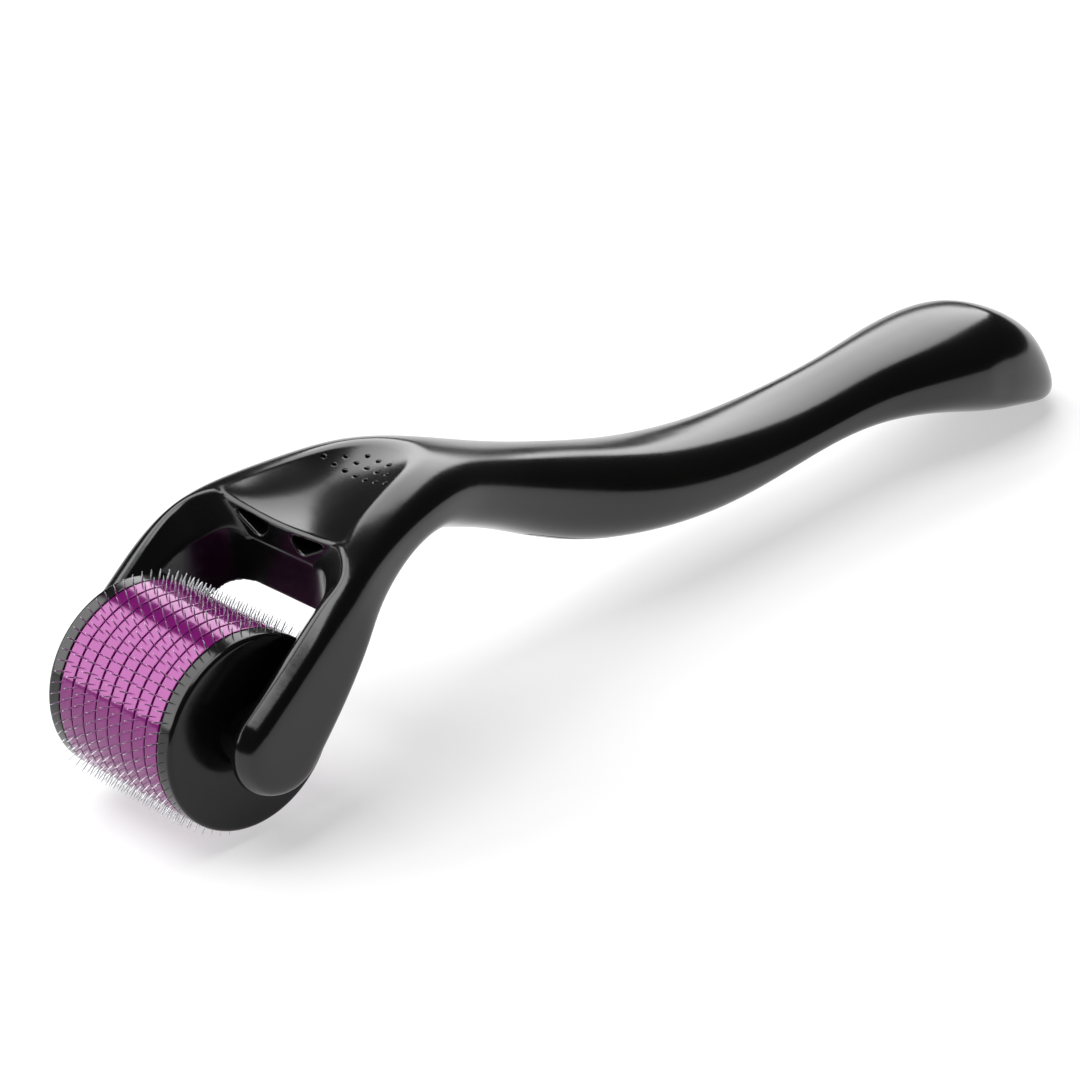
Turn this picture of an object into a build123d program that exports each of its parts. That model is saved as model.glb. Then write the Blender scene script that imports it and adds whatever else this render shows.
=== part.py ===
"""Derma roller: a stacked-disc needle drum turning in the fork of a slim curved handle.

Millimetres, +Z up.  The handle runs along +X from the drum to the tail and the drum turns
about an axis parallel to Y.  The origin is under the middle of the roller, on the surface
it rests on: the needle points and the underside of the tail touch z = 0.
"""
import os
from math import cos, pi, radians, sin

from build123d import *

os.makedirs("parts", exist_ok=True)

# ---------------------------------------------------------------- driving dimensions
LENGTH = 143.0                 # overall, needle points to tail
DRUM_R = 10.5                  # plastic radius of the drum
NEEDLE_OUT = 1.2               # needle length standing out of the drum
TIP_R = DRUM_R + NEEDLE_OUT
AXLE_X = TIP_R - LENGTH / 2    # drum axis
AXLE_Z = TIP_R

ROWS = 9                       # needle discs
NEEDLES = 60                   # needles on each disc
NEEDLE_TURN = 4.0              # degrees from +X to the first needle, the same on every disc
PITCH = 2.0                    # spacing of the discs along the axle
DISC_T = 0.16                  # sheet the discs are etched from
DISC_EDGE_R = 10.3             # solid edge of a disc, just under the ring surface
NEEDLE_ROOT = 0.34             # needle width where it leaves the disc
CAP_FACE = 10.1                # outer face of an end cap, from the middle of the drum

HUB_R = 6.0                    # hub the rings and discs are threaded on
HUB_HALF = 7.95
HUB_BORE_R = 3.2
SPIGOT_R = 3.17                # spigots of the end caps, pressed into the hub
SPIGOT = 3.5
KEY_W = 1.6                    # keys that stop the stack turning on the hub
KEY_H = 0.9
STACK_PLAY = 0.06
STUB_R = 2.2                   # stub axles on the end caps
STUB_END = 13.3
SOCKET_R = 2.26                # blind sockets in the fork, running fit
SOCKET_END = 13.6

ARM_IN = 11.2                  # inner faces of the fork, from the middle
ARM_RIDGE = 13.3               # highest line of an arm
ARM_OUT = 16.1                 # flat outer pads of the fork
WALL = 1.9                     # handle shell

# Sections of the handle: x and z from the drum axis, lean of the section in degrees,
# half width, half height and squareness of its rounded outline.
STATIONS = (
    (0.0, 0.0, 42, 16.60, 6.10, 4.5),
    (4.7, 4.3, 43, 16.50, 5.40, 4.5),
    (8.0, 7.7, 43, 16.20, 4.80, 4.4),
    (11.6, 10.7, 32, 15.20, 4.50, 4.0),
    (16.6, 12.8, 14, 13.40, 4.15, 3.3),
    (22.0, 13.9, 4, 11.50, 3.80, 2.8),
    (28.0, 13.9, -8, 9.70, 3.90, 2.5),
    (34.0, 12.0, -20, 7.90, 4.25, 2.4),
    (40.0, 9.4, -23, 6.90, 4.40, 2.3),
    (52.0, 4.1, -20, 6.60, 5.15, 2.3),
    (64.0, 0.6, -11, 7.30, 4.90, 2.3),
    (76.0, -0.9, -2, 7.10, 4.20, 2.3),
    (88.0, -0.8, 0, 6.70, 3.40, 2.3),
    (100.0, -0.8, -1, 6.90, 3.90, 2.3),
    (110.0, -1.6, -8, 8.60, 4.95, 2.3),
    (120.0, -3.5, -12, 9.40, 5.95, 2.3),
    (126.0, -5.6, -12, 8.90, 6.15, 2.3),
    (129.2, -6.6, -12, 7.30, 5.50, 2.3),
    (130.6, -7.0, -12, 4.60, 3.60, 2.3),
    (131.0, -7.1, -12, 1.60, 1.30, 2.3),
)
CAVITY = STATIONS[8:16]        # stations the hollow runs through
LID_ENDS = (46.5, 115.5)       # centres of the round ends of the underside cover
LID_HALF = 3.9                 # half width of the cover

# Half plan of the open end of the fork: x from the drum axis, half width.
THROAT = ((4.5, 11.2), (8.5, 10.6), (11.2, 9.9), (12.8, 8.4), (13.3, 5.5), (13.4, 0.0))

# Bevel along the inside of the arms.  Rows run from the axle to the crest of the web:
# x, z and lean of the section, then the outer edge of the bevel, out from the middle and up.
BEVEL_TOP = (
    (0.0, 0.0, 42, 13.3, 5.50),
    (4.7, 4.3, 43, 13.3, 4.85),
    (8.0, 7.7, 43, 13.3, 4.25),
    (11.6, 10.7, 32, 12.3, 3.90),
    (13.4, 11.5, 0, 9.5, 4.20),
)
BEVEL_UNDER = ((0.0, 0.0, 42, 13.3, 5.50), (4.7, 4.3, 43, 13.3, 5.15), (8.0, 7.7, 43, 13.3, 6.6))
BEVEL_SLOPE = 0.9

# Thumb dish: x from the drum axis, half width, height of its rim and of its floor.
DISH = (
    (12.0, 10.0, 15.75, 15.00),
    (15.8, 8.7, 16.35, 15.05),
    (19.5, 7.4, 17.05, 15.50),
    (24.0, 6.0, 17.55, 16.40),
    (28.5, 4.4, 17.60, 17.00),
    (32.0, 2.6, 17.40, 17.20),
)
WEB_POCKET = ((0.9, 14.4), (9.0, 15.2), (3.2, 12.1))   # corners of a recess under the crest: y, z
WEB_POCKET_X = (13.0, 16.2)
GRIP_ROWS = ((24.0, 7), (25.6, 5), (27.2, 3))   # rows of grip dimples: x, how many
GRIP_PITCH = 1.65
GRIP_R = 0.25
GRIP_FLOOR = 15.9


def world(x, y, z):
    """A point given from the drum axis, in the part's own frame."""
    return (AXLE_X + x, y, AXLE_Z + z)


def section_plane(x, z, lean):
    """Plane across the handle, its drawing's x along Y and its y along the section."""
    a = radians(lean)
    return Plane(origin=world(x, 0, z), x_dir=(0, 1, 0), z_dir=(cos(a), 0, sin(a)))


def quarter_curves(half_w, half_h, power):
    """Control points of the four curves round a section, starting at +half_w.

    power is the squareness of the outline: 2 is an ellipse, larger is boxier.
    """
    pull = (8 * 2 ** (-1 / power) - 4) / 3
    corner = [(1, 0), (1, pull), (pull, 1), (0, 1)]
    turns = (
        corner,
        [(-a, b) for a, b in reversed(corner)],
        [(-a, -b) for a, b in corner],
        [(a, -b) for a, b in reversed(corner)],
    )
    return [[(half_w * a, half_h * b) for a, b in turn] for turn in turns]


def bar(x0, x1, y0, y1, z0, z1, mode=Mode.ADD):
    """Rectangular block between two corners given from the drum axis."""
    with Locations(world((x0 + x1) / 2, (y0 + y1) / 2, (z0 + z1) / 2)):
        Box(abs(x1 - x0), abs(y1 - y0), abs(z1 - z0), mode=mode)


# ---------------------------------------------------------------- handle, outer form
with BuildPart() as form:
    for x, z, lean, half_w, half_h, power in STATIONS:
        with BuildSketch(section_plane(x, z, lean)):
            with BuildLine():
                for points in quarter_curves(half_w, half_h, power):
                    Bezier(*points)
            make_face()
    loft()

# round ends of the fork, turned about the drum axis
x, z, lean, half_w, half_h, power = STATIONS[0]
with BuildPart() as fork_end:
    with BuildSketch(section_plane(0, 0, lean)):
        with BuildLine():
            for points in quarter_curves(half_w, half_h, power)[:2]:
                Bezier(*points)
            Line((-half_w, 0), (half_w, 0))
        make_face()
    revolve(axis=Axis(world(0, 0, 0), (0, 1, 0)), revolution_arc=-180)

with BuildPart() as blank:
    add(form.part)
    add(fork_end.part)
    # flat outer pads of the fork
    for side in (-1, 1):
        bar(-12, 30, side * ARM_OUT, side * (ARM_OUT + 4), -12, 24, mode=Mode.SUBTRACT)
    # flat underside of the tail, the rear foot
    bar(100, 140, -20, 20, -TIP_R - 4, -TIP_R, mode=Mode.SUBTRACT)

# ---------------------------------------------------------------- handle, cutting shapes
with BuildPart() as gap:
    with BuildSketch(Plane.XY.offset(-10)):
        with BuildLine():
            near = [world(x, y, 0)[:2] for x, y in THROAT]
            far = [(x, -y) for x, y in reversed(near)][1:]
            mouth_x = world(-25, 0, 0)[0]
            Spline(*near, *far, tangents=[(1, 0), (-1, 0)])
            Polyline(far[-1], (mouth_x, -ARM_IN), (mouth_x, ARM_IN), near[0])
        make_face()
    extrude(amount=60)


def bevel_corners(out, up, under=False):
    """Four corners of the bevel's cutting section; the cut falls away towards the middle."""
    reach = out - ARM_IN + 0.5 if out > ARM_IN + 1 else 0.6
    flip = -1 if under else 1
    return [
        (out, flip * up),
        (out - reach, flip * (up - BEVEL_SLOPE * reach)),
        (out - reach, flip * (up + 3)),
        (out, flip * (up + 3)),
    ]


with BuildPart() as bevel_top:
    for x, z, lean, out, up in BEVEL_TOP:
        with BuildSketch(section_plane(x, z, lean)):
            with BuildLine():
                Polyline(*bevel_corners(out, up), close=True)
            make_face()
    loft(ruled=True)

with BuildPart() as bevel_under:
    for x, z, lean, out, up in BEVEL_UNDER:
        with BuildSketch(section_plane(x, z, lean)):
            with BuildLine():
                Polyline(*bevel_corners(out, up, under=True), close=True)
            make_face()
    loft(ruled=True)

with BuildPart() as bevel_round:
    with BuildSketch(section_plane(0, 0, STATIONS[0][2])):
        with BuildLine():
            Polyline(*bevel_corners(*BEVEL_TOP[0][3:]), close=True)
        make_face()
    revolve(axis=Axis(world(0, 0, 0), (0, 1, 0)), revolution_arc=-180)

with BuildPart() as dish:
    for x, half, rim, floor in DISH:
        with BuildSketch(section_plane(x, 0, 0)):
            with BuildLine():
                ThreePointArc((-half, rim), (0, floor), (half, rim))
                Polyline((half, rim), (half, 26), (-half, 26), (-half, rim))
            make_face()
    loft()
    with BuildSketch(Plane.XY.offset(world(0, 0, GRIP_FLOOR)[2])):
        for x, count in GRIP_ROWS:
            for i in range(count):
                with Locations((world(x, 0, 0)[0], (i - (count - 1) / 2) * GRIP_PITCH)):
                    Circle(GRIP_R)
    extrude(amount=3)

with BuildPart() as web_pockets:
    with BuildSketch(section_plane(WEB_POCKET_X[0], 0, 0)):
        for side in (-1, 1):
            with BuildLine():
                Polyline(*[(side * y, z) for y, z in WEB_POCKET], close=True)
            make_face()
    extrude(amount=WEB_POCKET_X[1] - WEB_POCKET_X[0])

with BuildPart() as hollow:
    for x, z, lean, half_w, half_h, power in CAVITY:
        with BuildSketch(section_plane(x, z, lean)):
            with BuildLine():
                for points in quarter_curves(half_w - WALL, half_h - WALL, power):
                    Bezier(*points)
            make_face()
    loft()

# upright prism that parts the cover from the rest, its top inside the hollow
with BuildPart() as seam:
    with BuildSketch(Plane.XZ):
        with BuildLine():
            start, end = LID_ENDS[0] - LID_HALF, LID_ENDS[1] + LID_HALF
            top = [(x, z) for x, z, _, _, _, _ in STATIONS[9:15]]
            middle = [(start, 8.0), *top, (end, -3.4)]
            corners = [(AXLE_X + x, AXLE_Z + z) for x, z in middle]
            Polyline(*corners, (corners[-1][0], -5), (corners[0][0], -5), close=True)
        make_face()
    extrude(amount=20, both=True)
    with BuildSketch(Plane.XY.offset(-10)):
        with Locations((AXLE_X + sum(LID_ENDS) / 2, 0)):
            SlotCenterToCenter(LID_ENDS[1] - LID_ENDS[0], 2 * LID_HALF)
    extrude(amount=60, mode=Mode.INTERSECT)

# ---------------------------------------------------------------- handle pieces
with BuildPart() as handle_upper:
    add(blank.part)
    add(gap.part, mode=Mode.SUBTRACT)
    add(dish.part, mode=Mode.SUBTRACT)
    for cutter in (bevel_top, bevel_under, bevel_round):
        add(cutter.part, mode=Mode.SUBTRACT)
        add(cutter.part.mirror(Plane.XZ), mode=Mode.SUBTRACT)
    add(web_pockets.part, mode=Mode.SUBTRACT)
    add(hollow.part, mode=Mode.SUBTRACT)
    add(seam.part, mode=Mode.SUBTRACT)
    for side in (-1, 1):
        middle = side * (ARM_IN - 0.5 + SOCKET_END) / 2
        with Locations(world(0, middle, 0)):
            Cylinder(SOCKET_R, SOCKET_END - ARM_IN + 0.5, rotation=(90, 0, 0), mode=Mode.SUBTRACT)
handle_upper.part.label = "handle_upper"
export_step(handle_upper.part, "parts/handle_upper.step")

with BuildPart() as handle_lower:
    add(blank.part)
    add(hollow.part, mode=Mode.SUBTRACT)
    add(seam.part, mode=Mode.INTERSECT)
handle_lower.part.label = "handle_lower"
export_step(handle_lower.part, "parts/handle_lower.step")

# ---------------------------------------------------------------- drum
ON_AXLE = Plane(origin=world(0, 0, 0), x_dir=(1, 0, 0), z_dir=(0, -1, 0))  # drawn from -Y


def across(y):
    """Plane square to the axle at y; extruding from it runs towards -Y."""
    return Plane(origin=world(0, y, 0), x_dir=(1, 0, 0), z_dir=(0, -1, 0))


with BuildPart() as hub:
    with BuildSketch(across(HUB_HALF)):
        Circle(HUB_R)
        with PolarLocations(HUB_R, 3):
            Rectangle(2 * KEY_H, KEY_W)
        Circle(HUB_BORE_R, mode=Mode.SUBTRACT)
    extrude(amount=2 * HUB_HALF)
hub.part.label = "drum_core"
export_step(hub.part, "parts/drum_core.step")

ring_w = PITCH - DISC_T
for i in range(ROWS - 1):
    y_mid = (i - (ROWS - 2) / 2) * PITCH
    with BuildPart() as ring:
        with BuildSketch(across(y_mid + ring_w / 2)):
            Circle(DRUM_R)
            Circle(HUB_R + STACK_PLAY, mode=Mode.SUBTRACT)
            with PolarLocations(HUB_R, 3):
                Rectangle(
                    2 * (KEY_H + STACK_PLAY),
                    KEY_W + 2 * STACK_PLAY,
                    mode=Mode.SUBTRACT,
                )
        extrude(amount=ring_w)
    ring.part.label = f"spacer_ring_{i + 1}"
    export_step(ring.part, f"parts/spacer_ring_{i + 1}.step")

step = 2 * pi / NEEDLES
root_turn = NEEDLE_ROOT / 2 / DISC_EDGE_R
for i in range(ROWS):
    y_mid = (i - (ROWS - 1) / 2) * PITCH
    rim = []
    for n in range(NEEDLES):
        a = n * step + radians(NEEDLE_TURN)
        for turn, r in ((-root_turn, DISC_EDGE_R), (0, TIP_R), (root_turn, DISC_EDGE_R)):
            rim.append((r * cos(a + turn), r * sin(a + turn)))
    with BuildPart() as disc:
        with BuildSketch(across(y_mid + DISC_T / 2)):
            with BuildLine():
                Polyline(*rim, close=True)
            make_face()
            Circle(HUB_R + STACK_PLAY, mode=Mode.SUBTRACT)
            with PolarLocations(HUB_R, 3):
                Rectangle(
                    2 * (KEY_H + STACK_PLAY),
                    KEY_W + 2 * STACK_PLAY,
                    mode=Mode.SUBTRACT,
                )
        extrude(amount=DISC_T)
    disc.part.label = f"needle_disc_{i + 1}"
    export_step(disc.part, f"parts/needle_disc_{i + 1}.step")

stack_half = (ROWS - 1) / 2 * PITCH + DISC_T / 2
for name, side in (("end_cap_near", -1), ("end_cap_far", 1)):
    with BuildPart() as cap:
        with BuildSketch(Plane(origin=world(0, 0, 0), x_dir=(0, side, 0), z_dir=(side, 0, 0))):
            with BuildLine():
                Polyline(
                    (HUB_HALF - SPIGOT, 0),
                    (HUB_HALF - SPIGOT, SPIGOT_R),
                    (stack_half, SPIGOT_R),
                    (stack_half, DRUM_R),
                    (CAP_FACE, DRUM_R),
                    (CAP_FACE, 3.4),
                    (ARM_IN - 0.15, 3.4),
                    (ARM_IN - 0.15, STUB_R),
                    (STUB_END, STUB_R),
                    (STUB_END, 0),
                    close=True,
                )
            make_face()
        revolve(axis=Axis(world(0, 0, 0), (0, 1, 0)), revolution_arc=360)
        rim_edge = cap.edges().filter_by(GeomType.CIRCLE).filter_by(
            lambda e: abs(e.radius - DRUM_R) < 0.01 and abs(abs(e.center().Y) - CAP_FACE) < 0.01
        )
        fillet(rim_edge, 0.45)
        nose = cap.edges().filter_by(GeomType.CIRCLE).filter_by(
            lambda e: abs(e.radius - STUB_R) < 0.01 and abs(abs(e.center().Y) - STUB_END) < 0.01
        )
        chamfer(nose, 0.4)
    cap.part.label = name
    export_step(cap.part, f"parts/{name}.step")
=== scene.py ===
"""Looks for the derma roller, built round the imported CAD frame.  Metres, +Z up.

The handle is the zero surface of a distance field written in millimetres from the drum
axis.  Rings, discs, needles and caps are turned or swept about the same axis.
"""
from math import cos, pi, radians, sin

import bmesh
import bpy
import numpy as np
from mathutils import Matrix, Vector


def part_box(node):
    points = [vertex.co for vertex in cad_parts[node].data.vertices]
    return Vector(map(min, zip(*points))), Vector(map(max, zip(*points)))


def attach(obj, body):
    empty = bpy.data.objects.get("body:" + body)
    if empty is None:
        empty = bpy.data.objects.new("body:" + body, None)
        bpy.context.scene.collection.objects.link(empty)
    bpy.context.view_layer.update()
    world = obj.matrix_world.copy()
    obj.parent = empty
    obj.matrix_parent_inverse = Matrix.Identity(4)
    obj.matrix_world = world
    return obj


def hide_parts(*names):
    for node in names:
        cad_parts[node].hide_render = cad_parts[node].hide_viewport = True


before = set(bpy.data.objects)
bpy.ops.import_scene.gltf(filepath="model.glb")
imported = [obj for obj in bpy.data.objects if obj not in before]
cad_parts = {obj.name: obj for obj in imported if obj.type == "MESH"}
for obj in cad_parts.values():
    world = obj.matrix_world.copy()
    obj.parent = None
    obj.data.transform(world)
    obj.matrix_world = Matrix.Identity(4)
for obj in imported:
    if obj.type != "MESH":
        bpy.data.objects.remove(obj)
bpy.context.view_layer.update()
MM = 0.001

low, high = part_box("end_cap_near")
AXLE = Vector(((low.x + high.x) / 2, 0.0, (low.z + high.z) / 2))
FLOOR = -AXLE.z / MM
TIP_R = AXLE.z / MM
DRUM_R = (high.z - low.z) / 2 / MM

# ================================================================ handle form, mm from the drum axis
ARM_IN, ARM_RIDGE, ARM_OUT = 11.2, 13.3, 16.1
SOCKET_R, SOCKET_END = 2.26, 13.6

# middle line x, z; half width; half height square to the line; squareness of the outline
SPINE = np.array((
    (0.0, 0.0, 16.60, 6.00, 4.5),
    (4.5, 4.2, 16.50, 5.30, 4.5),
    (8.0, 7.7, 16.20, 4.75, 4.4),
    (12.0, 11.0, 15.10, 4.40, 4.0),
    (16.8, 12.9, 13.30, 4.10, 3.3),
    (22.0, 13.9, 11.50, 3.80, 2.8),
    (28.0, 13.9, 9.70, 3.90, 2.5),
    (34.0, 12.0, 7.90, 4.20, 2.4),
    (40.0, 9.4, 6.90, 4.35, 2.3),
    (52.0, 4.1, 6.60, 5.15, 2.3),
    (64.0, 0.6, 7.30, 4.90, 2.3),
    (76.0, -0.9, 7.10, 4.20, 2.3),
    (88.0, -0.8, 6.70, 3.40, 2.3),
    (100.0, -0.8, 6.90, 3.90, 2.3),
    (110.0, -1.6, 8.75, 5.15, 2.3),
    (120.0, -3.5, 9.60, 6.30, 2.3),
    (128.0, -6.0, 9.30, 5.60, 2.3),
    (136.0, -9.2, 8.90, 4.90, 2.3),
))
# tail: its tip, where its end starts to round off in plan, and half its width there
TAIL_END, TAIL_ROUND_FROM, TAIL_HALF = 131.3, 119.0, 10.3
TAIL_LEAN, TAIL_LEAN_FROM = 0.045, -10.5     # how fast the end draws in with height, and from what height
TAIL_FROM, TAIL_FULL_FROM = 110, 118.0       # the end's shape fades in between these
TAIL_EDGE, TAIL_FADE = 2.6, 4.0              # rounding of its rim, depth it fades in from
FOOT_EDGE = 0.8

# fork: bottom of its opening and half length of the crest there, rounding of the opening's corners
THROAT_END, CREST_HALF, CORNER = 13.4, 9.5, 6.5
HEAD_END = 37                                # everything cut into the fork end lies before this
PAD_EDGE = 1.0
BEVEL_FALL, BEVEL_LIFT, BEVEL_NORM = 1.9, 2.1, 2.83   # slope of the arms' bevel, across and up
BEVEL_EDGE = 0.9
TURN_IN_FROM = 8.5                           # where the bevel's outer edge starts to run in to the crest
UNDER_REACH, UNDER_FROM, UNDER_FADE = 2.4, 7.0, 0.7   # bevel on the underside: depth, and where it fades
POCKET_SIDE, POCKET_END, POCKET_ROUND = 8.4, 16.2, 1.0   # the two web pockets

# thumb dish: x, half width, height of the rim, height of the floor
DISH = np.array((
    (12.0, 10.0, 15.75, 15.00),
    (13.4, 9.5, 15.75, 15.00),
    (15.8, 8.7, 16.35, 15.05),
    (19.5, 7.4, 17.05, 15.50),
    (24.0, 6.0, 17.55, 16.40),
    (28.5, 4.4, 17.60, 17.00),
    (32.0, 2.6, 17.40, 17.20),
    (35.0, 1.4, 17.60, 17.50),
    (40.0, 0.8, 20.00, 20.00),
))
GRIP_ROWS = ((24.0, 7), (25.6, 5), (27.2, 3))   # rows of dimples: x, how many
GRIP_PITCH, GRIP_R, GRIP_DEEP = 1.65, 0.22, 0.5
LID_ENDS, LID_HALF = (46.5, 115.5), 3.9      # cover let into the underside, a round-ended slot
LID_GAP, LID_EDGE = 0.03, 0.12               # half the seam round it, rounding of the seam's edges


def natural_curve(knots, values, at):
    """Natural cubic through the values at the knots, read at the numbers in at."""
    n = len(knots)
    gap = np.diff(knots)
    left, rest = np.zeros((n, n)), np.zeros(values.shape)
    left[0, 0] = left[-1, -1] = 1
    for i in range(1, n - 1):
        left[i, i - 1], left[i, i], left[i, i + 1] = gap[i - 1], 2 * (gap[i - 1] + gap[i]), gap[i]
        rest[i] = 6 * ((values[i + 1] - values[i]) / gap[i] - (values[i] - values[i - 1]) / gap[i - 1])
    bend = np.linalg.solve(left, rest)
    k = np.clip(np.searchsorted(knots, at) - 1, 0, n - 2)
    t, h = (at - knots[k])[:, None], gap[k][:, None]
    slope = (values[k + 1] - values[k]) / h - h * (2 * bend[k] + bend[k + 1]) / 6
    return values[k] + t * (slope + t * (bend[k] / 2 + t * (bend[k + 1] - bend[k]) / (6 * h)))


def smax(a, b, k):
    """Larger of two distances, with the edge between them rounded over about k."""
    h = np.maximum(k - np.abs(a - b), 0) / k
    return np.maximum(a, b) + h * h * k * 0.25


def run_of(points):
    """Distance along the corners of a line, from its start to each."""
    return np.concatenate([[0], np.cumsum(np.hypot(*np.diff(points[:, :2], axis=0).T))])


class Grid:
    """Values on a regular plan grid, read between the points."""

    def __init__(self, a0, a1, b0, b1, step):
        self.a, self.b, self.step = np.arange(a0, a1 + step, step), np.arange(b0, b1 + step, step), step
        self.points = np.meshgrid(self.a, self.b, indexing="ij")

    def read(self, values, a, b):
        u = np.clip((a - self.a[0]) / self.step, 0, len(self.a) - 1.001)
        v = np.clip((b - self.b[0]) / self.step, 0, len(self.b) - 1.001)
        i, j = u.astype(int), v.astype(int)
        u, v = u - i, v - j
        first = values[i, j] * (1 - v) + values[i, j + 1] * v
        second = values[i + 1, j] * (1 - v) + values[i + 1, j + 1] * v
        return first * (1 - u) + second * u


dish_x = np.linspace(DISH[0, 0], DISH[-1, 0], 400)
dish_line = natural_curve(DISH[:, 0], DISH, dish_x)
knots = run_of(SPINE)
run = np.linspace(0, knots[-1], 900)
line = natural_curve(knots, SPINE, run)
heading = np.gradient(line[:, :2], run, axis=0)
heading /= np.hypot(*heading.T)[:, None]

side_view = Grid(-9, 136, -15, 22, 0.25)


def along_line(x, z):
    """Run along the middle line, and height above it, of points of the side view."""
    s, n = np.empty(x.size), np.empty(x.size)
    flat_x, flat_z = x.ravel(), z.ravel()
    for i in range(0, x.size, 20000):
        px, pz = flat_x[i:i + 20000], flat_z[i:i + 20000]
        dx, dz = px[:, None] - line[None, :, 0], pz[:, None] - line[None, :, 1]
        k = np.argmin(dx * dx + dz * dz, axis=1)
        row = np.arange(len(k))
        step = dx[row, k] * heading[k, 0] + dz[row, k] * heading[k, 1]
        at = np.clip(run[k] + step, 0, run[-1])
        ex, ez = px - np.interp(at, run, line[:, 0]), pz - np.interp(at, run, line[:, 1])
        above = np.interp(at, run, heading[:, 0]) * ez - np.interp(at, run, heading[:, 1]) * ex
        s[i:i + 20000], n[i:i + 20000] = at, np.hypot(ex, ez) * np.where(above < 0, -1, 1)
    return s.reshape(x.shape), n.reshape(x.shape)


side_run, side_rise = along_line(*side_view.points)
side_reach = np.abs(side_rise)


def opening(x, y):
    """Distance in plan to the edge of the fork's opening, negative inside the opening."""
    return smax(y - ARM_IN + 0.07 * np.maximum(x - 4.0, 0), x - THROAT_END, CORNER)


def web_pocket(x, y, z):
    """Recess under the crest of the web, one on each side of the middle: three planes, a side and a back."""
    roof = z - 14.1 - 0.1 * y
    flank = -((y - 1.5) * 0.707 + (z - 14.1) * 0.707)
    sill = (y - 3.4) * 0.476 - (z - 12.4) * 0.88
    mouth = smax(smax(roof, flank, POCKET_ROUND), sill, POCKET_ROUND)
    return smax(mouth, np.maximum(y - POCKET_SIDE, x - POCKET_END), POCKET_ROUND)


def head_cuts(x, y, z, d, s, n, reach, w, h, p):
    """Opening, bevels, web pockets, dish, dimples and sockets of the fork end."""
    # bevel down the inside of both arms, over their rounded ends and part of the underside
    inward = np.where(n > 0, np.clip((x - TURN_IN_FROM) / (THROAT_END - TURN_IN_FROM), 0, 1) ** 3, 0)
    out = ARM_RIDGE - (ARM_RIDGE - CREST_HALF) * inward
    ridge = h * (1 - np.minimum(out / np.maximum(w, out + 0.3), 1) ** p) ** (1 / p)
    lift = (reach - ridge) * BEVEL_LIFT
    bevel = ((out - y) * BEVEL_FALL + lift) / BEVEL_NORM
    under = (np.minimum(out - y, UNDER_REACH) * BEVEL_FALL + lift) / BEVEL_NORM
    under = under - np.maximum(s - UNDER_FROM, 0) * UNDER_FADE
    bevel = np.where(n > 0, -smax(-bevel, x - THROAT_END, 0.3), under)
    d = smax(d, bevel, BEVEL_EDGE)
    d = smax(d, -opening(x, y), 0.3)
    d = smax(d, -web_pocket(x, y, z), 0.25)
    # thumb dish
    half, rim, base = (np.interp(x, dish_x, dish_line[:, i]) for i in (1, 2, 3))
    trough = base + (rim - base) * (y / half) ** 2   # parabola from the floor up to both rims
    steep = np.sqrt(1 + (2 * (rim - base) * y / half ** 2) ** 2)
    d = smax(d, (z - trough) / steep, 0.5)
    for row, count in GRIP_ROWS:
        for i in range(count):
            across = (i - (count - 1) / 2) * GRIP_PITCH
            if across < 0:
                continue   # y is never negative here, so the other side follows
            bottom = np.interp(row, dish_x, dish_line[:, 3]) - GRIP_DEEP
            hole = smax(np.hypot(x - row, y - across) - GRIP_R, bottom - z, 0.2)
            d = smax(d, -hole, 0.08)
    # sockets of the stub axles
    bore = np.maximum(np.hypot(x, z) - SOCKET_R, y - SOCKET_END)
    return smax(d, -bore, 0.1)


def handle(x, y, z):
    """Distance, about, to the outside of the whole handle.  Negative inside."""
    y = np.abs(y)
    s, n, reach = (side_view.read(v, x, z) for v in (side_run, side_rise, side_reach))
    w, h, p = (np.interp(s, run, line[:, i]) for i in (2, 3, 4))
    r = np.hypot(y, reach) + 1e-6
    form = ((y / w) ** p + (reach / h) ** p) ** (1 / p) + 1e-9
    d = np.maximum(r * (form - 1) / form, -np.minimum(w, h) * 0.9)
    d = smax(d, y - ARM_OUT, PAD_EDGE)
    # rounded end of the tail and the flat of its foot
    lean = TAIL_LEAN * np.maximum(z - TAIL_LEAN_FROM, 0) ** 2
    along = np.maximum(x + lean - TAIL_ROUND_FROM, 0) / (TAIL_END - TAIL_ROUND_FROM)
    end = (np.sqrt(along ** 2 + (y / TAIL_HALF) ** 2) - 1) * 10.5   # ellipse in plan, in about mm
    end = end - TAIL_FADE * np.clip((TAIL_FULL_FROM - x) / (TAIL_FULL_FROM - TAIL_FROM), 0, 1) ** 2
    d = np.where(x > TAIL_FROM, smax(d, end, TAIL_EDGE), d)
    d = smax(d, FLOOR - z, FOOT_EDGE)
    head = x < HEAD_END
    if np.any(head):
        d[head] = head_cuts(*(v[head] for v in (x, y, z, d, s, n, reach, w, h, p)))
    return d


def lid(x, y, z):
    """Distance to the upright edge of the underside cover, and to its top."""
    over = np.maximum(np.maximum(LID_ENDS[0] - x, x - LID_ENDS[1]), 0)
    return smax(np.hypot(over, y) - LID_HALF, side_view.read(side_rise, x, z), 0.1)


def upper(x, y, z):
    return smax(handle(x, y, z), LID_GAP - lid(x, y, z), LID_EDGE)


def lower(x, y, z):
    return smax(handle(x, y, z), lid(x, y, z) + LID_GAP, LID_EDGE)


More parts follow.
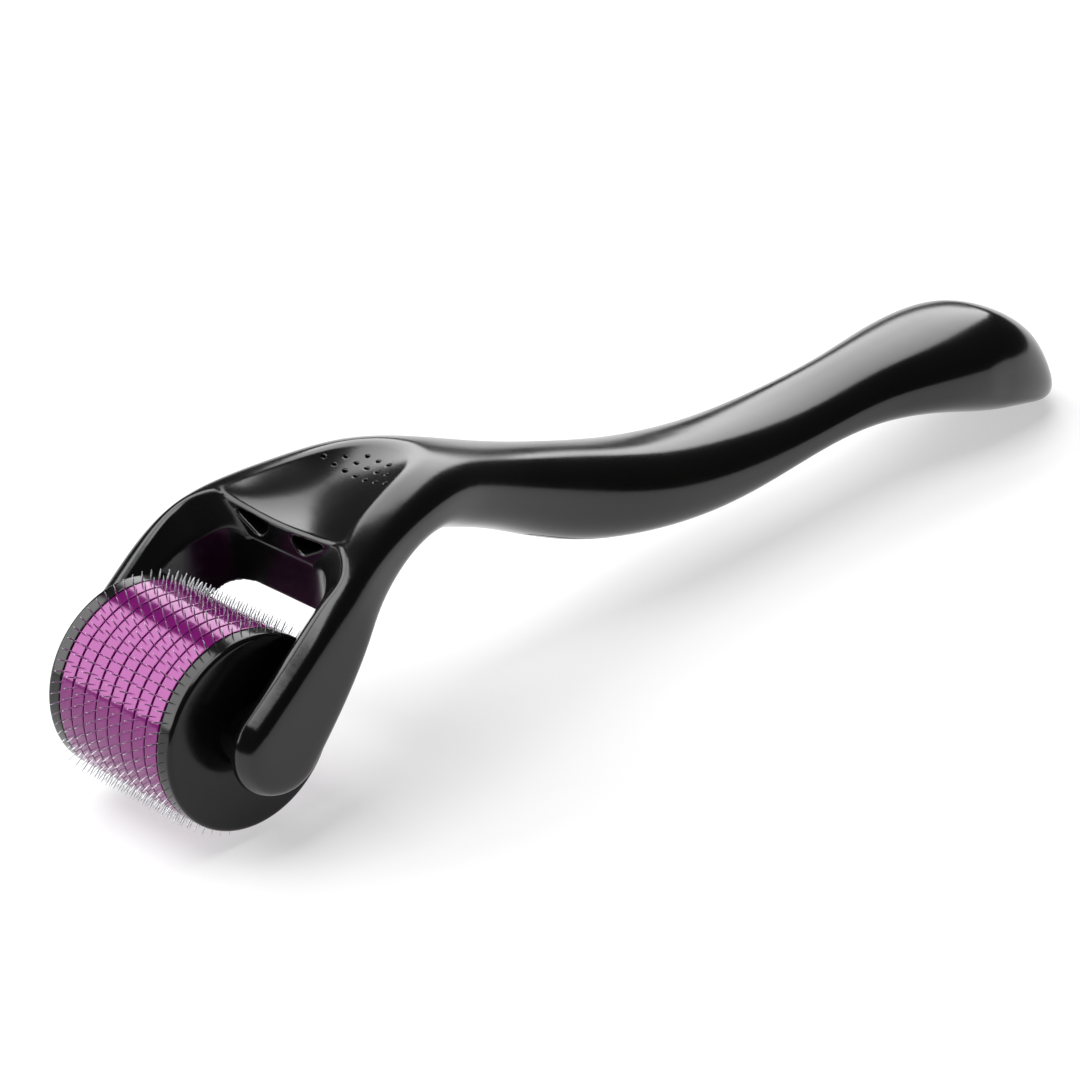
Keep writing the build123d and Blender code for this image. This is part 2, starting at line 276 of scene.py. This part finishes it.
# ================================================================ surfaces of distance fields
def surface_net(field, gx, gy, gz):
    """Points and quads of the zero surface of a field sampled on a grid of uneven steps."""
    inside = field < 0
    nx, ny, nz = field.shape
    corners = [(i, j, k) for i in (0, 1) for j in (0, 1) for k in (0, 1)]
    count = sum(inside[i:nx - 1 + i, j:ny - 1 + j, k:nz - 1 + k].astype(np.int8) for i, j, k in corners)
    ci, cj, ck = np.nonzero((count > 0) & (count < 8))
    index = np.full(count.shape, -1, np.int32)
    index[ci, cj, ck] = np.arange(len(ci))
    total, hits = np.zeros((len(ci), 3)), np.zeros(len(ci))
    for a in corners:
        for axis in range(3):
            if a[axis]:
                continue
            b = [a[i] + (i == axis) for i in range(3)]
            fa, fb = field[ci + a[0], cj + a[1], ck + a[2]], field[ci + b[0], cj + b[1], ck + b[2]]
            cross = (fa < 0) != (fb < 0)
            t = np.where(cross, fa / np.where(cross, fa - fb, 1), 0)[:, None]
            pa = np.stack([gx[ci + a[0]], gy[cj + a[1]], gz[ck + a[2]]], 1)
            pb = np.stack([gx[ci + b[0]], gy[cj + b[1]], gz[ck + b[2]]], 1)
            total += np.where(cross[:, None], pa + t * (pb - pa), 0)
            hits += cross
    quads = []
    for axis in range(3):
        first, second = [slice(None)] * 3, [slice(None)] * 3
        first[axis], second[axis] = slice(0, -1), slice(1, None)
        a, b = inside[tuple(first)], inside[tuple(second)]
        at = np.stack(np.nonzero(a != b), 1)
        out = a[tuple(at.T)]
        u, v = (axis + 1) % 3, (axis + 2) % 3
        ring = []
        for du, dv in ((1, 1), (0, 1), (0, 0), (1, 0)):
            q = at.copy()
            q[:, u] -= du
            q[:, v] -= dv
            ring.append(index[q[:, 0], q[:, 1], q[:, 2]])
        ring = np.stack(ring, 1)
        ring[~out] = ring[~out][:, ::-1]
        quads.append(ring)
    return total / hits[:, None], np.concatenate(quads)


def gradient(f, p, reach=0.125):
    """Slope of f at each point, from a step of reach either way."""
    g = np.empty_like(p)
    for axis in range(3):
        q = p.copy()
        q[:, axis] += reach
        ahead = f(*q.T)
        q[:, axis] -= 2 * reach
        g[:, axis] = (ahead - f(*q.T)) / (2 * reach)
    return g


def mesh_object(name, points, faces, normals):
    """Smooth object from points in mm off the drum axis, quads of them, and a normal for each point."""
    mesh = bpy.data.meshes.new(name)
    faces = np.asarray(faces, np.int32)
    mesh.vertices.add(len(points))
    mesh.vertices.foreach_set("co", (np.asarray(points) * MM + np.array(AXLE)).astype(np.float32).ravel())
    mesh.loops.add(faces.size)
    mesh.loops.foreach_set("vertex_index", faces.ravel())
    mesh.polygons.add(len(faces))
    mesh.polygons.foreach_set("loop_start", np.arange(len(faces), dtype=np.int32) * faces.shape[1])
    mesh.update(calc_edges=True)
    mesh.polygons.foreach_set("use_smooth", np.full(len(faces), True))
    mesh.normals_split_custom_set_from_vertices(normals.tolist())
    ob = bpy.data.objects.new(name, mesh)
    bpy.context.scene.collection.objects.link(ob)
    return ob


def steps(*stops):
    """Grid lines from start through (end, step) pairs."""
    out = [np.array([stops[0]])]
    for end, step in stops[1:]:
        start = out[-1][-1]
        n = max(1, int(round((end - start) / step)))
        out.append(np.linspace(start, end, n + 1)[1:])
    return np.concatenate(out)


def mirrored(half):
    """Grid lines on both sides of the middle."""
    return np.concatenate([-half[::-1], half])


def skin(name, f, gx, gy, gz):
    """Closed smooth object on the zero surface of f, its points moved onto that surface."""
    yy, zz = (v.ravel() for v in np.meshgrid(gy, gz, indexing="ij"))
    field = np.stack([f(np.full(yy.shape, x), yy, zz).reshape(len(gy), len(gz)) for x in gx])
    points, quads = surface_net(field, gx, gy, gz)
    for _ in range(3):
        g = gradient(f, points, 0.05)
        off = np.clip(f(*points.T) / np.maximum((g * g).sum(1), 0.3), -0.25, 0.25)
        points -= off[:, None] * g
    g = gradient(f, points)
    return mesh_object(name, points, quads, g / np.linalg.norm(g, axis=1)[:, None])


fine_x = steps(-7.2, (23.0, 0.26), (29.2, 0.15), (37.0, 0.26), (118.0, 0.6), (132.0, 0.3))
fine_y = mirrored(steps(0.075, (6.6, 0.15), (17.0, 0.28)))
fine_z = steps(-12.3, (14.8, 0.28), (18.0, 0.15), (19.2, 0.28))
handle_upper = skin("handle_upper_look", upper, fine_x, fine_y, fine_z)
lid_x = steps(41.0, (121.0, 0.5))
lid_y = mirrored(steps(0.1, (4.5, 0.2)))
lid_z = steps(-12.3, (10.0, 0.2))
handle_lower = skin("handle_lower_look", lower, lid_x, lid_y, lid_z)

# ================================================================ drum
ROWS, NEEDLES, PITCH = 9, 60, 2.0
DISC_T, DISC_EDGE_R, NEEDLE_R = 0.16, 10.3, 0.085
NEEDLE_TURN = radians(4)
NEEDLE_SIDES = 8
HUB_R, PLAY, KEY_W, KEY_H, KEYS = 6.0, 0.06, 1.6, 0.9, 3
ROUND = 240                                  # corners of a turned piece
# end caps: distances out along the axle, and radii
SPIGOT_IN, SPIGOT_R = 4.45, 3.17
CAP_FACE, CAP_EDGE = 10.1, 0.5
BOSS_R, BOSS_OUT = 3.4, 11.05
STUB_R, STUB_OUT, STUB_CHAMFER = 2.2, 13.3, 0.4


def from_bmesh(name, bm, sharp=35):
    """Object from a bmesh, smooth except across edges steeper than sharp degrees."""
    bmesh.ops.recalc_face_normals(bm, faces=bm.faces)
    mesh = bpy.data.meshes.new(name)
    bm.to_mesh(mesh)
    bm.free()
    mesh.polygons.foreach_set("use_smooth", np.full(len(mesh.polygons), True))
    mesh.set_sharp_from_angle(angle=radians(sharp))
    ob = bpy.data.objects.new(name, mesh)
    bpy.context.scene.collection.objects.link(ob)
    return ob


def spot(a, r, y):
    """Point at an angle and radius about the axle, y along it."""
    return AXLE + Vector((r * cos(a), y, r * sin(a))) * MM


def bore(a):
    """Radius of the keyed bore of a ring or disc at angle a."""
    for k in range(KEYS):
        off = a - 2 * pi * k / KEYS
        off = (off + pi) % (2 * pi) - pi
        if abs(off) < 1.4 and abs(HUB_R * sin(off)) < KEY_W / 2 + PLAY:
            return (HUB_R + KEY_H + PLAY) / cos(off)
    return HUB_R + PLAY


def tube(bm, profile, inner_low, inner_high):
    """Ring swept round the axle: profile of (y, r) on the outside, keyed bore inside."""
    turns = [2 * pi * i / ROUND for i in range(ROUND)]
    rows = [[bm.verts.new(spot(turn, r, y)) for turn in turns] for y, r in profile]
    for y in (inner_high, inner_low):
        rows.append([bm.verts.new(spot(turn, bore(turn), y)) for turn in turns])
    for a, b in zip(rows, rows[1:] + rows[:1]):
        for i in range(ROUND):
            j = (i + 1) % ROUND
            bm.faces.new((a[i], a[j], b[j], b[i]))


def spacer_ring(index):
    bm = bmesh.new()
    middle, half = (index - (ROWS - 2) / 2) * PITCH, (PITCH - DISC_T) / 2
    edge = [(0.0, 0.07), (0.02, 0.02), (0.07, 0.0), (0.17, 0.0)]
    profile = [(middle - half + a, DRUM_R - b) for a, b in edge]
    profile += [(middle + half - a, DRUM_R - b) for a, b in reversed(edge)]
    tube(bm, profile, middle - half, middle + half)
    return from_bmesh(f"spacer_ring_{index + 1}_look", bm)


def needle_disc(index):
    bm = bmesh.new()
    middle, half = (index - (ROWS - 1) / 2) * PITCH, DISC_T / 2
    tube(bm, [(middle - half, DISC_EDGE_R), (middle + half, DISC_EDGE_R)], middle - half, middle + half)
    turn = 2 * pi / NEEDLES
    shape = ((DISC_EDGE_R - 0.1, NEEDLE_R), (TIP_R - 0.55, NEEDLE_R * 0.92), (TIP_R - 0.2, NEEDLE_R * 0.5))
    for n in range(NEEDLES):
        a = n * turn + NEEDLE_TURN
        rings = []
        for r, thick in shape:
            ring = []
            for k in range(NEEDLE_SIDES):
                b = 2 * pi * k / NEEDLE_SIDES
                ring.append(bm.verts.new(spot(a + thick * cos(b) / r, r, middle + thick * sin(b))))
            rings.append(ring)
        point = bm.verts.new(spot(a, TIP_R, middle))
        bm.faces.new(rings[0])
        for p, q in zip(rings, rings[1:]):
            for k in range(NEEDLE_SIDES):
                after = (k + 1) % NEEDLE_SIDES
                bm.faces.new((p[k], p[after], q[after], q[k]))
        for k in range(NEEDLE_SIDES):
            bm.faces.new((rings[-1][k], rings[-1][(k + 1) % NEEDLE_SIDES], point))
    return from_bmesh(f"needle_disc_{index + 1}_look", bm, 60)


def end_cap(name, side):
    """Spigot, flange with a rounded rim, boss and stub axle, turned about the axle."""
    seat = (ROWS - 1) / 2 * PITCH + DISC_T / 2
    outline = [(SPIGOT_IN, 0.0), (SPIGOT_IN, SPIGOT_R), (seat, SPIGOT_R)]
    outline += [(seat, DRUM_R - 0.08), (seat + 0.03, DRUM_R - 0.02), (seat + 0.1, DRUM_R)]
    outline += [(seat + 0.3, DRUM_R), (CAP_FACE - CAP_EDGE - 0.2, DRUM_R)]
    for k in range(9):
        a = pi / 2 * k / 8
        outline.append((CAP_FACE - CAP_EDGE * (1 - sin(a)), DRUM_R - CAP_EDGE * (1 - cos(a))))
    outline += [(CAP_FACE, DRUM_R - CAP_EDGE - 0.2), (CAP_FACE, BOSS_R + 0.2), (CAP_FACE, BOSS_R)]
    outline += [(BOSS_OUT, BOSS_R), (BOSS_OUT, STUB_R), (STUB_OUT - STUB_CHAMFER, STUB_R)]
    outline += [(STUB_OUT, STUB_R - STUB_CHAMFER), (STUB_OUT, 0.0)]
    bm = bmesh.new()
    rows = []
    for y, r in outline:
        if r == 0:
            rows.append([bm.verts.new(spot(0, 0, side * y))])
        else:
            rows.append([bm.verts.new(spot(2 * pi * i / ROUND, r, side * y)) for i in range(ROUND)])
    for a, b in zip(rows, rows[1:]):
        for i in range(ROUND):
            j = (i + 1) % ROUND
            corners = [a[0]] if len(a) == 1 else [a[i], a[j]]
            corners += [b[0]] if len(b) == 1 else [b[j], b[i]]
            bm.faces.new(corners)
    return from_bmesh(name + "_look", bm)


rings = [spacer_ring(i) for i in range(ROWS - 1)]
discs = [needle_disc(i) for i in range(ROWS)]
caps = {"end_cap_near": end_cap("end_cap_near", -1), "end_cap_far": end_cap("end_cap_far", 1)}


# ================================================================ materials
def surface(name, deep, pale, rough, grain=700, **inputs):
    """Moulded or drawn surface: colour and gloss wander a little, with a faint orange-peel skin."""
    mat = bpy.data.materials.new(name)
    mat.use_nodes = True
    nodes, links = mat.node_tree.nodes, mat.node_tree.links
    bsdf = nodes["Principled BSDF"]
    for key, value in inputs.items():
        bsdf.inputs[key].default_value = value
    where = nodes.new("ShaderNodeTexCoord")
    wander = nodes.new("ShaderNodeTexNoise")
    wander.inputs["Scale"].default_value = 90
    wander.inputs["Detail"].default_value = 4
    links.new(where.outputs["Object"], wander.inputs["Vector"])
    tint = nodes.new("ShaderNodeMix")
    tint.data_type = "RGBA"
    tint.inputs["A"].default_value = (*deep, 1)
    tint.inputs["B"].default_value = (*pale, 1)
    links.new(wander.outputs["Fac"], tint.inputs["Factor"])
    links.new(tint.outputs["Result"], bsdf.inputs["Base Color"])
    gloss = nodes.new("ShaderNodeMapRange")
    gloss.inputs["From Min"].default_value = 0.3
    gloss.inputs["From Max"].default_value = 0.7
    gloss.inputs["To Min"].default_value = rough[0]
    gloss.inputs["To Max"].default_value = rough[1]
    links.new(wander.outputs["Fac"], gloss.inputs["Value"])
    links.new(gloss.outputs["Result"], bsdf.inputs["Roughness"])
    peel = nodes.new("ShaderNodeTexNoise")
    peel.inputs["Scale"].default_value = grain
    peel.inputs["Detail"].default_value = 3
    links.new(where.outputs["Object"], peel.inputs["Vector"])
    height = nodes.new("ShaderNodeBump")
    height.inputs["Strength"].default_value = 0.04
    height.inputs["Distance"].default_value = 0.0002
    links.new(peel.outputs["Fac"], height.inputs["Height"])
    links.new(height.outputs["Normal"], bsdf.inputs["Normal"])
    return mat


black = surface("black_plastic", (0.0025, 0.0026, 0.0025), (0.004, 0.004, 0.004), (0.15, 0.2))
cap_black = surface("cap_plastic", (0.003, 0.003, 0.003), (0.005, 0.005, 0.005), (0.13, 0.18), IOR=1.38)
purple = surface(
    "purple_plastic", (0.17, 0.006, 0.13), (0.21, 0.009, 0.165), (0.09, 0.12), Metallic=0.3, IOR=1.55
)
core_grey = surface("core_plastic", (0.06, 0.06, 0.065), (0.09, 0.09, 0.095), (0.35, 0.45))
steel = surface(
    "needle_steel", (0.62, 0.63, 0.66), (0.78, 0.79, 0.81), (0.18, 0.3), grain=5000, Metallic=1.0
)


def dress(piece, node, body, mat):
    """Give a piece its material, and tie it to the CAD node that it stands for."""
    piece.data.materials.append(mat)
    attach(piece, body)
    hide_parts(node)


dress(handle_upper, "handle_upper", "handle", black)
dress(handle_lower, "handle_lower", "handle", black)
for i, ob in enumerate(rings):
    dress(ob, f"spacer_ring_{i + 1}", "drum", purple)
for i, ob in enumerate(discs):
    dress(ob, f"needle_disc_{i + 1}", "drum", steel)
for name, ob in caps.items():
    dress(ob, name, "drum", cap_black)
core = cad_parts["drum_core"]
core.data.materials.clear()
core.data.materials.append(core_grey)

# ================================================================ studio
bpy.ops.mesh.primitive_plane_add(size=6)
floor = bpy.context.object
floor.name = "floor"
ground = bpy.data.materials.new("floor_white")
ground.use_nodes = True
table = ground.node_tree.nodes["Principled BSDF"]
table.inputs["Base Color"].default_value = (0.5, 0.5, 0.5, 1)
table.inputs["Roughness"].default_value = 0.8
table.inputs["Specular IOR Level"].default_value = 0.1
table.inputs["Emission Color"].default_value = (1, 1, 1, 1)
table.inputs["Emission Strength"].default_value = 0.53   # a lit table, so shadows stay light
floor.data.materials.append(ground)


def placed(x_axis, y_axis, z_axis, at):
    """Matrix that sets an object's own axes along three directions, at a point."""
    rows = [(x_axis[i], y_axis[i], z_axis[i], at[i]) for i in range(3)]
    return Matrix((*rows, (0, 0, 0, 1)))


def softbox(name, toward, along, distance, size, radiance):
    """Rectangular light facing the roller from a direction, its length turned to lie along another."""
    back = Vector(toward).normalized()
    left = (Vector(along) - Vector(along).dot(back) * back).normalized()
    above = back.cross(left)
    light = bpy.data.lights.new(name, "AREA")
    light.shape = "RECTANGLE"
    light.size, light.size_y = size
    light.energy = radiance * pi * size[0] * size[1]
    ob = bpy.data.objects.new(name, light)
    bpy.context.scene.collection.objects.link(ob)
    ob.matrix_world = placed(left, above, back, back * distance)


softbox("overhead", (-0.25, 0.1, 0.96), (1, 0, 0), 0.9, (0.6, 0.6), 5.4)
softbox("back", (0.62, 0.57, 0.54), (0.7, -0.7, 0), 1.0, (0.58, 0.78), 3.7)
softbox("left", (-0.45, 0.69, 0.55), (0.775, 0, 0.633), 0.8, (1.0, 0.42), 4.4)
world = bpy.data.worlds.new("studio")
bpy.context.scene.world = world
world.use_nodes = True
world.node_tree.nodes["Background"].inputs["Color"].default_value = (1, 1, 1, 1)
world.node_tree.nodes["Background"].inputs["Strength"].default_value = 0.04

# camera: turn, rise and roll of the viewpoint, and where it stands from the drum axis, mm
TURN, RISE, ROLL = radians(-41.469), radians(26.756), radians(-4.008)
EYE = Vector((-187.622, -267.655, 180.019))
back = Vector((sin(TURN) * cos(RISE), -cos(TURN) * cos(RISE), sin(RISE)))
right = (-back).cross(Vector((0, 0, 1))).normalized()
up = right.cross(-back)
side = cos(ROLL) * right + sin(ROLL) * up
top = -sin(ROLL) * right + cos(ROLL) * up
camera = bpy.data.cameras.new("camera")
camera.lens = 121.667
camera.sensor_width = 36
cam = bpy.data.objects.new("camera", camera)
bpy.context.scene.collection.objects.link(cam)
cam.matrix_world = placed(side, top, back, AXLE + EYE * MM)
bpy.context.scene.camera = cam
bpy.context.scene.view_settings.view_transform = "Standard"
